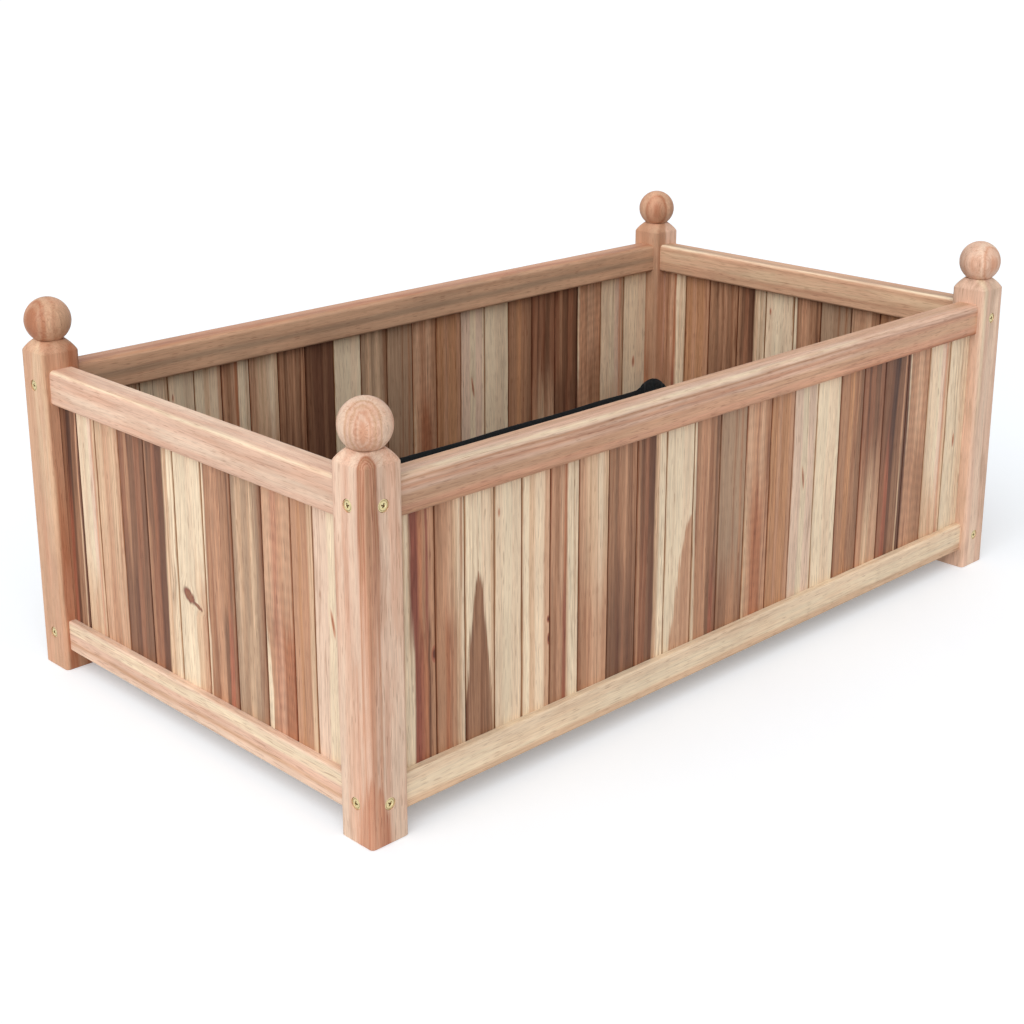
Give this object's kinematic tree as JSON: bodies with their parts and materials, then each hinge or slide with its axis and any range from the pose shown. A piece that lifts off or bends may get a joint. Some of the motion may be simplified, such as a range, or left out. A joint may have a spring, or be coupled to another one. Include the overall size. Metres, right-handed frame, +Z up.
{
  "type": "raised garden bed",
  "caption": "Rectangular wooden garden bed with tongued board walls in grooved rails, square posts with domed caps and ball finials, a slatted floor and a black felt liner.",
  "frame": {"origin": "on the ground, at the middle of the footprint", "axes": "+X along the bed's length, +Y across it towards the rear wall, +Z up"},
  "size_m": [1.206, 0.676, 0.49],
  "materials": {
    "post_wood": "oiled, satin",
    "rail_wood": "oiled, satin",
    "board_wood": "oiled, satin",
    "floor_wood": "rough sawn",
    "liner_felt": "non-woven, matte",
    "screw_brass": "bright zinc yellow",
    "screw_steel": "zinc plated"
  },
  "bodies": {
    "root": {"post_front_left": "post_wood", "post_front_right": "post_wood", "post_rear_left": "post_wood", "post_rear_right": "post_wood", "finial_front_left": "post_wood", "finial_front_right": "post_wood", "finial_rear_left": "post_wood", "finial_rear_right": "post_wood", "top_rail_front": "rail_wood", "top_rail_rear": "rail_wood", "top_rail_left": "rail_wood", "top_rail_right": "rail_wood", "bottom_rail_front": "rail_wood", "bottom_rail_rear": "rail_wood", "bottom_rail_left": "rail_wood", "bottom_rail_right": "rail_wood", "boards_front": "board_wood", "boards_rear": "board_wood", "boards_left": "board_wood", "boards_right": "board_wood", "floor_ledger_front": "floor_wood", "floor_ledger_rear": "floor_wood", "floor_slat_1": "floor_wood", "floor_slat_2": "floor_wood", "floor_slat_3": "floor_wood", "floor_slat_4": "floor_wood", "floor_slat_5": "floor_wood", "floor_slat_6": "floor_wood", "floor_slat_7": "floor_wood", "floor_slat_8": "floor_wood", "floor_slat_9": "floor_wood", "floor_slat_10": "floor_wood", "floor_slat_11": "floor_wood", "liner": "liner_felt", "joint_screws": "screw_brass", "finial_screws": "screw_steel", "slat_screws": "screw_steel", "ledger_screws": "screw_steel", "liner_staples": "screw_steel"}
  },
  "joints": []
}
